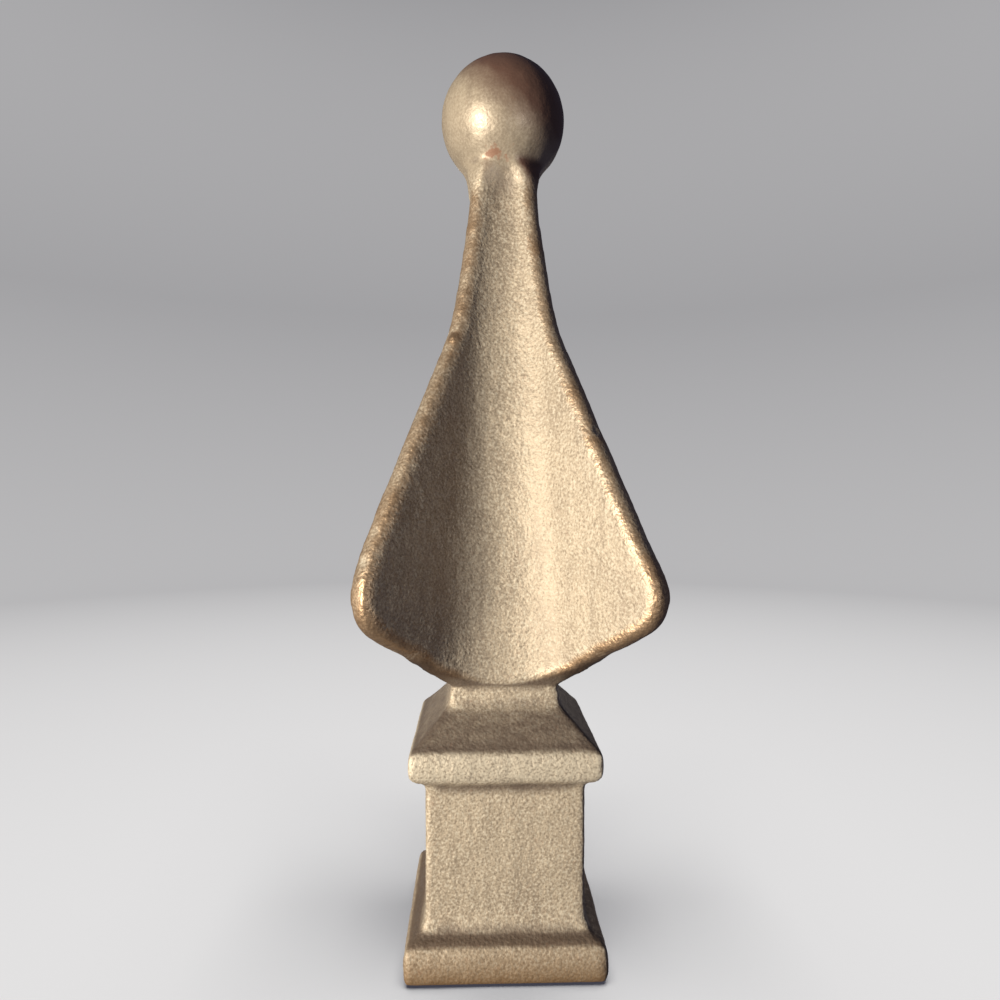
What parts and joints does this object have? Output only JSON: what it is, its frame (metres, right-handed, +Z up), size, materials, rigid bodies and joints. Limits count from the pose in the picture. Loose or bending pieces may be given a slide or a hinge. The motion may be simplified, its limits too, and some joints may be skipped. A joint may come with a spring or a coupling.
{
  "type": "fence finial",
  "caption": "Cast finial that caps a fence picket or post: a ball over a flared head with scooped faces, on a square neck, collar, plinth and base.",
  "frame": {"origin": "centre of the flat underside, which rests on the picket or the table", "axes": "+Z up along the finial's axis to the ball, -Y out of the pictured face, +X to the right of it"},
  "size_m": [0.0464, 0.0464, 0.152],
  "materials": {
    "cast_metal": "sand-cast iron with a brown bronze-like patina, grainy and half glossy"
  },
  "bodies": {
    "root": {"cast_finial": "cast_metal"}
  },
  "joints": []
}
